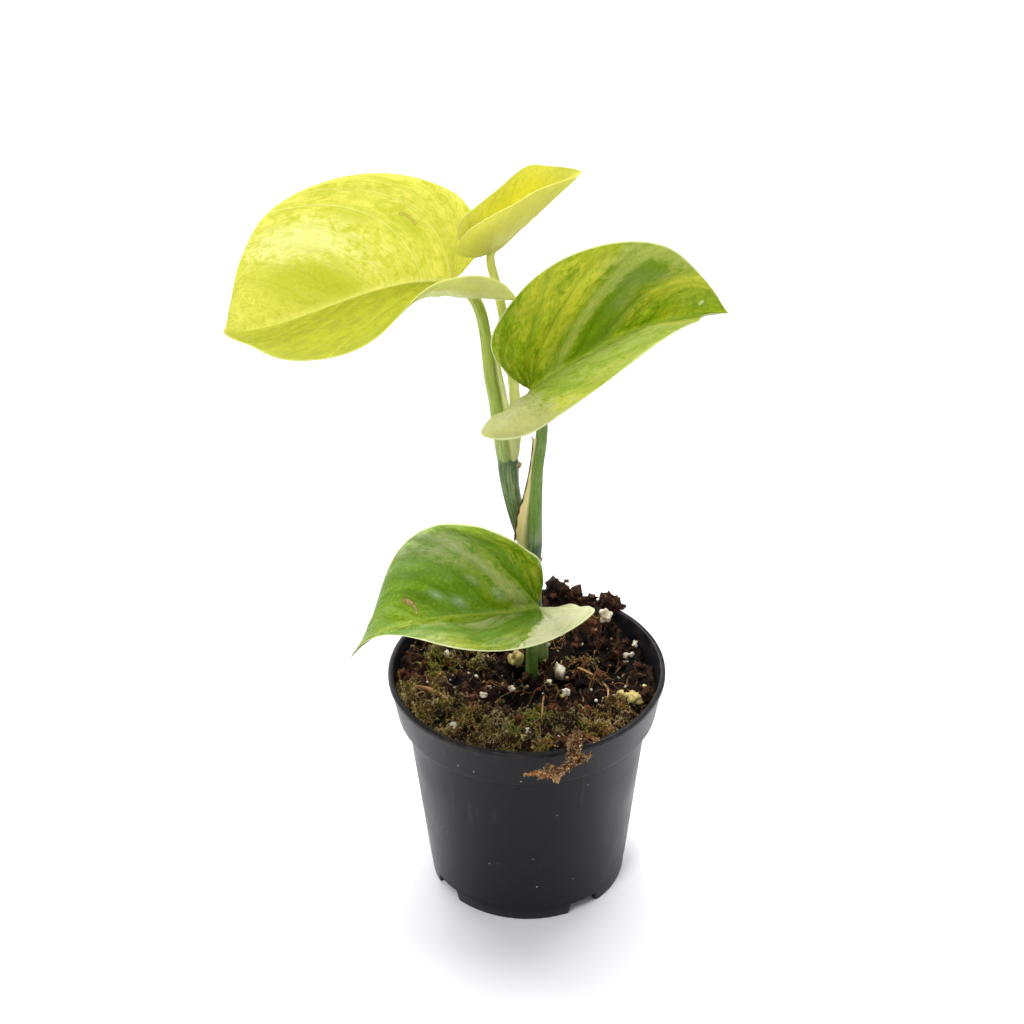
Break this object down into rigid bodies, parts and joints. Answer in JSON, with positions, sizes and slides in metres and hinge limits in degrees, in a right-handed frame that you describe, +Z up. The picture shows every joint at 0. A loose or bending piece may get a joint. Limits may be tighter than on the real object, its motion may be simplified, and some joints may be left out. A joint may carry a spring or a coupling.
{
  "type": "potted house plant",
  "caption": "Young variegated pothos vine with heart-shaped leaves, rooted in dark soil in a small black nursery pot.",
  "frame": {"origin": "middle of the overall box at the height of the surface that the pot stands on", "axes": "+Z up, -Y to the front as the picture shows it, +X to the right"},
  "size_m": [0.1032, 0.0638, 0.1703],
  "materials": {
    "pot_plastic": "satin",
    "soil": "matte",
    "stem": "satin",
    "petiole": "satin",
    "young_leaf": "satin",
    "leaf": "satin",
    "dried_moss": "matte"
  },
  "bodies": {
    "root": {"pot": "pot_plastic", "soil": "soil", "main_stem": "stem", "petiole_lower_left": "petiole", "petiole_right": "petiole", "petiole_upper_left": "petiole", "petiole_top": "petiole", "leaf_lower_left": "leaf", "leaf_right": "leaf", "leaf_upper_left": "young_leaf", "leaf_top": "young_leaf", "dried_moss_tuft": "dried_moss"}
  },
  "joints": []
}
